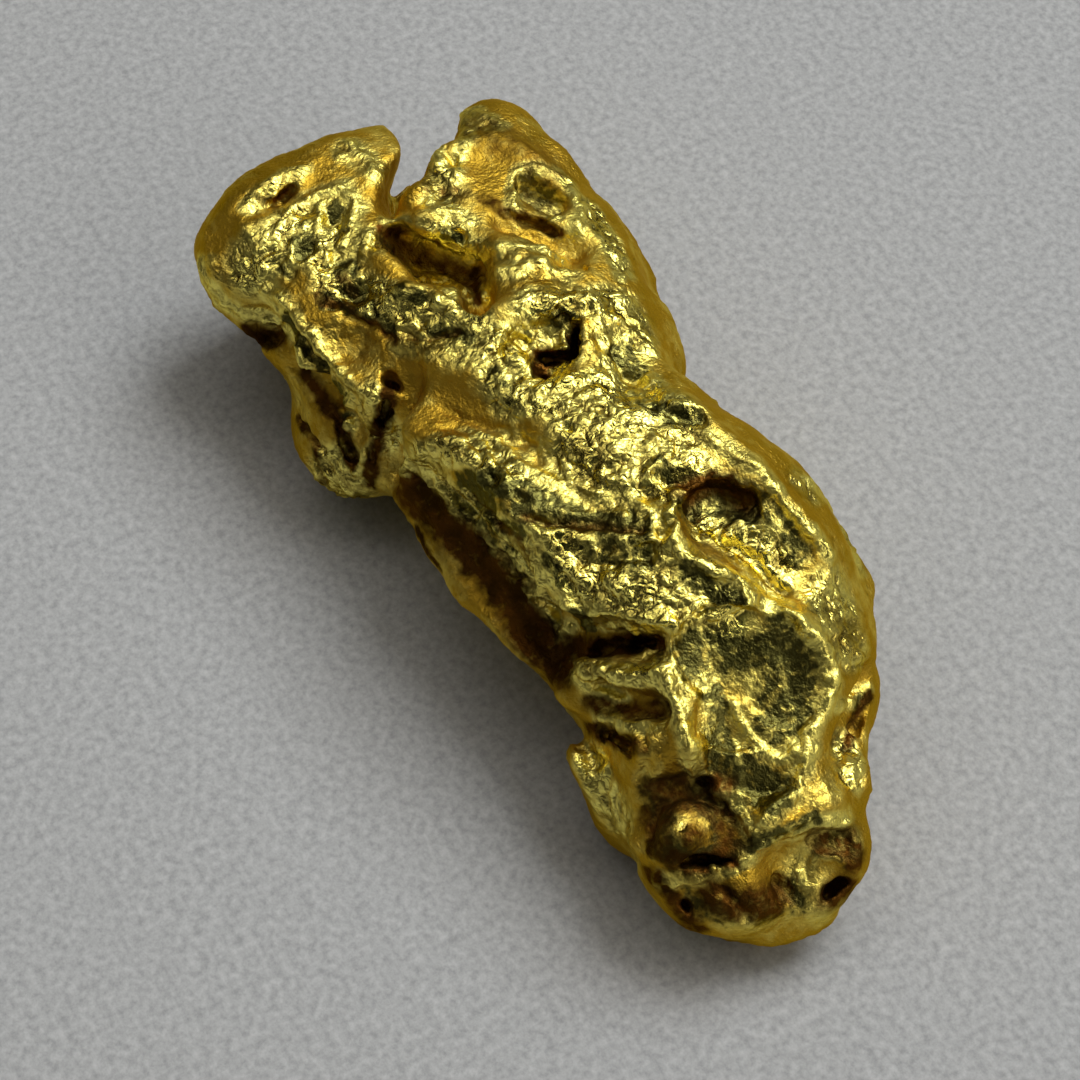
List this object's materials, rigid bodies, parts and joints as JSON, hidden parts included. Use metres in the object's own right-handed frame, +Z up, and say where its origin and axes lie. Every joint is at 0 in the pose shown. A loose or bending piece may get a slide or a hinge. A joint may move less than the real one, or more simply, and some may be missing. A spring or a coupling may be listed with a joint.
{
  "type": "gold nugget",
  "caption": "Small water-worn native gold nugget, forked at one end and rounded to a nose at the other, that lies flat as a specimen.",
  "frame": {"origin": "on the surface that the nugget rests on, under the middle of its box", "axes": "+X along the nugget from its forked end to its rounded nose, +Y across it, +Z up from the surface it rests on"},
  "size_m": [0.0116, 0.0052, 0.0035],
  "materials": {
    "native_gold": "worn and hammered native gold, bright on the ridges and satin in the hollows"
  },
  "bodies": {
    "root": {"nugget": "native_gold"}
  },
  "joints": []
}
